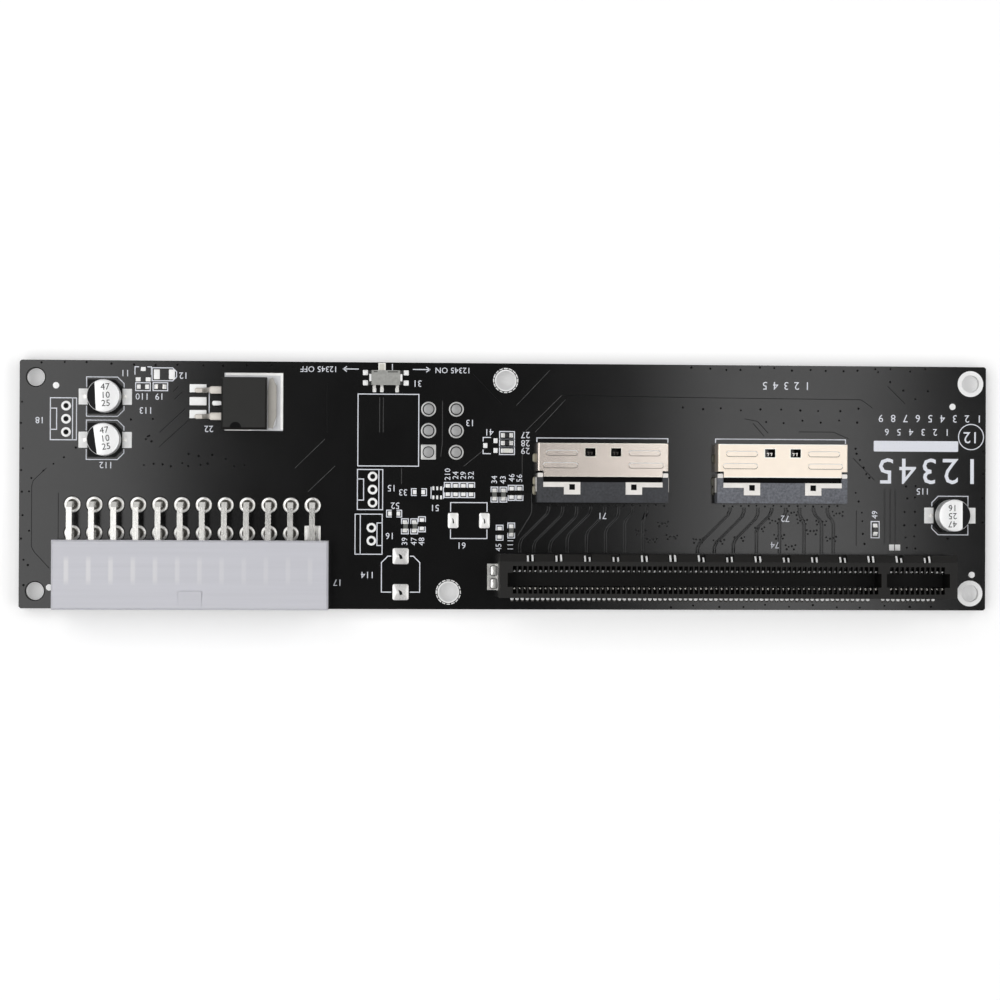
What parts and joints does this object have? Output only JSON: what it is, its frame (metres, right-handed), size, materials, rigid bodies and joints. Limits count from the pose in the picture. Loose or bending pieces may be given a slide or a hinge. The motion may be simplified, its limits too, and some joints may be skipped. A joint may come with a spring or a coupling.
{
  "type": "pcie adapter card",
  "caption": "Long black adapter card with a card-edge slot, two shielded cable sockets, a side-entry power header and a small slide switch.",
  "frame": {"origin": "middle of the four corner holes, on the board's underside", "axes": "+X along the board towards the slot's short part, +Y towards the edge with the slide switch, +Z out of the component side"},
  "size_m": [0.1886, 0.048, 0.0147],
  "materials": {
    "solder_mask": "satin black solder mask over glass board",
    "header_nylon": "pale grey translucent nylon",
    "tin": "bright tin plate",
    "slot_plastic": "matt black moulding",
    "contact_metal": "plated spring contacts",
    "shell_steel": "plain plated sheet",
    "sheet_steel": "plain plated sheet",
    "socket_plastic": "matt slate moulding",
    "black_plastic": "matt black moulding",
    "knob_plastic": "cream moulding",
    "can_aluminium": "drawn can, satin",
    "chip_ceramic": "tan ceramic",
    "chip_glaze": "black glaze",
    "lamp_resin": "pale clear resin"
  },
  "bodies": {
    "card": {"cable_socket_1_board_locks": "sheet_steel", "cable_socket_1_body": "socket_plastic", "cable_socket_1_clips": "sheet_steel", "cable_socket_1_contact_wafers": "socket_plastic", "cable_socket_1_shell": "shell_steel", "cable_socket_2_board_locks": "sheet_steel", "cable_socket_2_body": "socket_plastic", "cable_socket_2_clips": "sheet_steel", "cable_socket_2_contact_wafers": "socket_plastic", "cable_socket_2_shell": "shell_steel", "capacitor_1_base": "black_plastic", "capacitor_1_can": "can_aluminium", "capacitor_1_leads": "tin", "capacitor_2_base": "black_plastic", "capacitor_2_can": "can_aluminium", "capacitor_2_leads": "tin", "capacitor_3_base": "black_plastic", "capacitor_3_can": "can_aluminium", "capacitor_3_leads": "tin", "chip_capacitors": "chip_ceramic", "chip_end_caps": "tin", "chip_resistors": "chip_glaze", "circuit_board": "solder_mask", "power_header_housing": "header_nylon", "power_header_lower_pins": "tin", "power_header_upper_pins": "tin", "regulator_body": "black_plastic", "regulator_leads": "tin", "regulator_tab": "tin", "slot_front_contacts": "contact_metal", "slot_hold_down": "tin", "slot_housing": "slot_plastic", "slot_rear_contacts": "contact_metal", "status_lamp": "lamp_resin", "switch_base": "black_plastic", "switch_cover": "sheet_steel", "switch_terminals": "tin"},
    "knob": {"switch_knob": "knob_plastic"}
  },
  "joints": [
    {"name": "knob_slide", "type": "slide", "parent": "card", "child": "knob", "axis": [1, 0, 0], "range_m": [0, 0.0015]}
  ]
}
